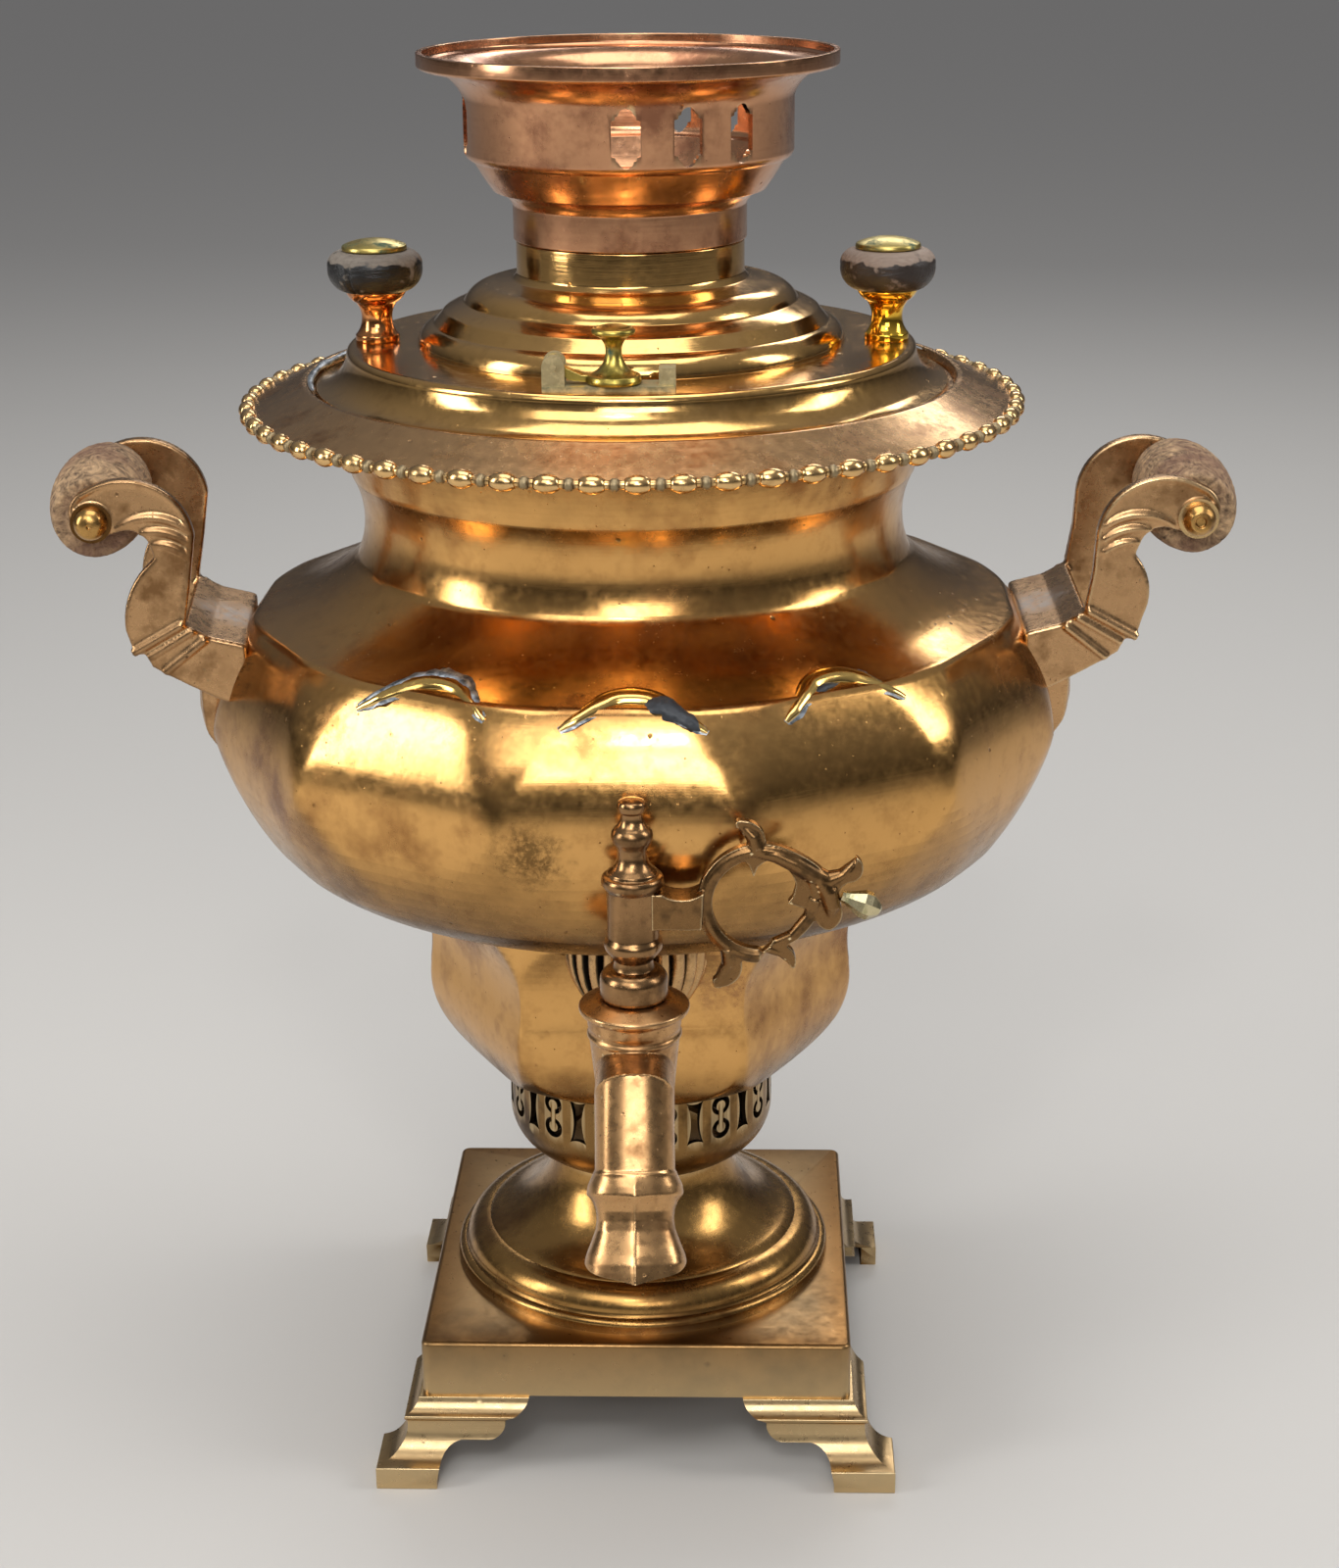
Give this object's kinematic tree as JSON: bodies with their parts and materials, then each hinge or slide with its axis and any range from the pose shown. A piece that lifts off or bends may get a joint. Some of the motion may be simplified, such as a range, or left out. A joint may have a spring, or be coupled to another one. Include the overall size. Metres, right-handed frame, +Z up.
{
  "type": "samovar",
  "caption": "Charcoal-fired brass samovar: faceted urn on a square foot, fire tube, lid, teapot crown, two handles and a plug tap.",
  "frame": {"origin": "on the floor under the turning axis of the urn, in the middle of its square foot", "axes": "+Z up along the turning axis, -Y towards the tap, +X towards the right handle"},
  "size_m": [0.4111, 0.3635, 0.4994],
  "materials": {
    "polished_brass": "polished, lightly pitted",
    "crown_brass": "satin, copper-toned",
    "base_brass": "satin, browned",
    "cast_brass": "cast, pitted",
    "sooty_iron": "sooted",
    "raw_wood": "raw, weathered",
    "knob_wood": "black paint, worn"
  },
  "bodies": {
    "samovar": {"air_gallery": "base_brass", "collar_ring": "polished_brass", "fire_tube": "sooty_iron", "foot_front_left": "base_brass", "foot_front_right": "base_brass", "foot_rear_left": "base_brass", "foot_rear_right": "base_brass", "grate": "sooty_iron", "left_handle_bracket": "cast_brass", "left_handle_grip": "raw_wood", "left_handle_nuts": "cast_brass", "left_handle_rod": "cast_brass", "pedestal": "base_brass", "plinth": "base_brass", "right_handle_bracket": "cast_brass", "right_handle_grip": "raw_wood", "right_handle_nuts": "cast_brass", "right_handle_rod": "cast_brass", "tap_body": "cast_brass", "tap_rosette": "cast_brass", "vessel_belly": "polished_brass", "vessel_bottom": "polished_brass", "vessel_bowl": "polished_brass", "vessel_neck": "polished_brass", "vessel_shoulder": "polished_brass"},
    "lid": {"left_knob_cap": "polished_brass", "left_knob_stem": "polished_brass", "left_knob_wood": "knob_wood", "lid": "polished_brass", "right_knob_cap": "polished_brass", "right_knob_stem": "polished_brass", "right_knob_wood": "knob_wood", "vent_base": "cast_brass", "vent_pin": "cast_brass"},
    "vent_cap": {"vent_cap": "cast_brass"},
    "crown": {"crown": "crown_brass"},
    "tap_key": {"tap_plug": "cast_brass", "tap_lever": "cast_brass", "lever_bud": "cast_brass"}
  },
  "joints": [
    {"name": "tap_turn", "type": "hinge", "parent": "samovar", "child": "tap_key", "pos_m": [0.00496, -0.15792, 0.224], "axis": [0, 0, 1], "range_deg": [-180, 0]},
    {"name": "lid_lift", "type": "slide", "parent": "samovar", "child": "lid", "axis": [0, 0, 1], "range_m": [0, 0.09]},
    {"name": "crown_lift", "type": "slide", "parent": "lid", "child": "crown", "axis": [0, 0, 1], "range_m": [0, 0.05]},
    {"name": "vent_open", "type": "hinge", "parent": "lid", "child": "vent_cap", "pos_m": [-0.021, -0.086, 0.4096], "axis": [0, -1, 0], "range_deg": [0, 115]}
  ]
}
